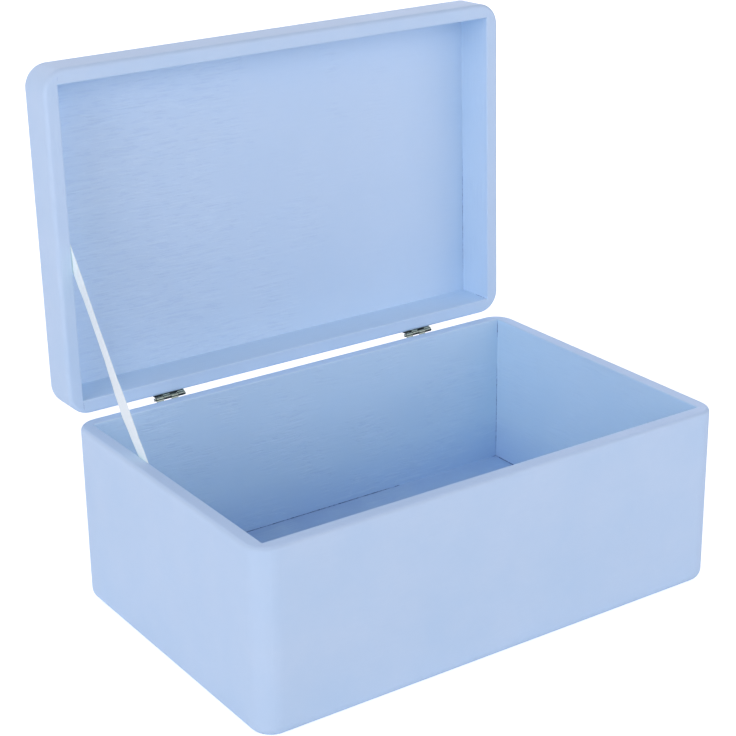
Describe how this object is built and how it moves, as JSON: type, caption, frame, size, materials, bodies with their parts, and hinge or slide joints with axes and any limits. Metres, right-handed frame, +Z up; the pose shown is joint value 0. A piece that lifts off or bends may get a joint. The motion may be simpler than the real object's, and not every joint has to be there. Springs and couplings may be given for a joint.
{
  "type": "keepsake box",
  "caption": "Rectangular keepsake box in pale blue painted wood with rounded corners, and a shallow lid on small butt hinges that stands open on a ribbon stay.",
  "frame": {"origin": "middle of the base's footprint, on the surface the box stands on", "axes": "+X along the width to the right, seen from the front; +Y from the front to the hinged back; +Z up. The lid is stored open."},
  "size_m": [0.3, 0.2287, 0.3007],
  "materials": {
    "painted_pine": "satin pale blue paint on sanded pine",
    "painted_plywood": "matte pale blue paint on rotary-cut plywood, its grain showing through",
    "antique_brass_hinge": "pressed sheet, dull antique brass plating",
    "hinge_pin": "drawn wire, bright",
    "hinge_screw": "plated, satin",
    "satin_ribbon": "white woven satin",
    "staple_wire": "galvanised wire"
  },
  "bodies": {
    "base": {"base_front_board": "painted_pine", "base_back_board": "painted_pine", "base_left_board": "painted_pine", "base_right_board": "painted_pine", "base_bottom_panel": "painted_plywood", "left_hinge_base_leaf": "antique_brass_hinge", "right_hinge_base_leaf": "antique_brass_hinge", "left_hinge_pin": "hinge_pin", "right_hinge_pin": "hinge_pin", "left_hinge_base_screws": "hinge_screw", "right_hinge_base_screws": "hinge_screw", "ribbon_base_staple": "staple_wire", "ribbon_stay": "satin_ribbon"},
    "lid": {"lid_front_board": "painted_pine", "lid_back_board": "painted_pine", "lid_left_board": "painted_pine", "lid_right_board": "painted_pine", "lid_top_panel": "painted_plywood", "left_hinge_lid_leaf": "antique_brass_hinge", "right_hinge_lid_leaf": "antique_brass_hinge", "left_hinge_lid_screws": "hinge_screw", "right_hinge_lid_screws": "hinge_screw", "ribbon_lid_staple": "staple_wire"}
  },
  "joints": [
    {"name": "lid_hinge", "type": "hinge", "parent": "base", "child": "lid", "pos_m": [0, 0.0986, 0.10515], "axis": [1, 0, 0], "range_deg": [0, 91.2], "deforming": ["ribbon_stay"]}
  ]
}
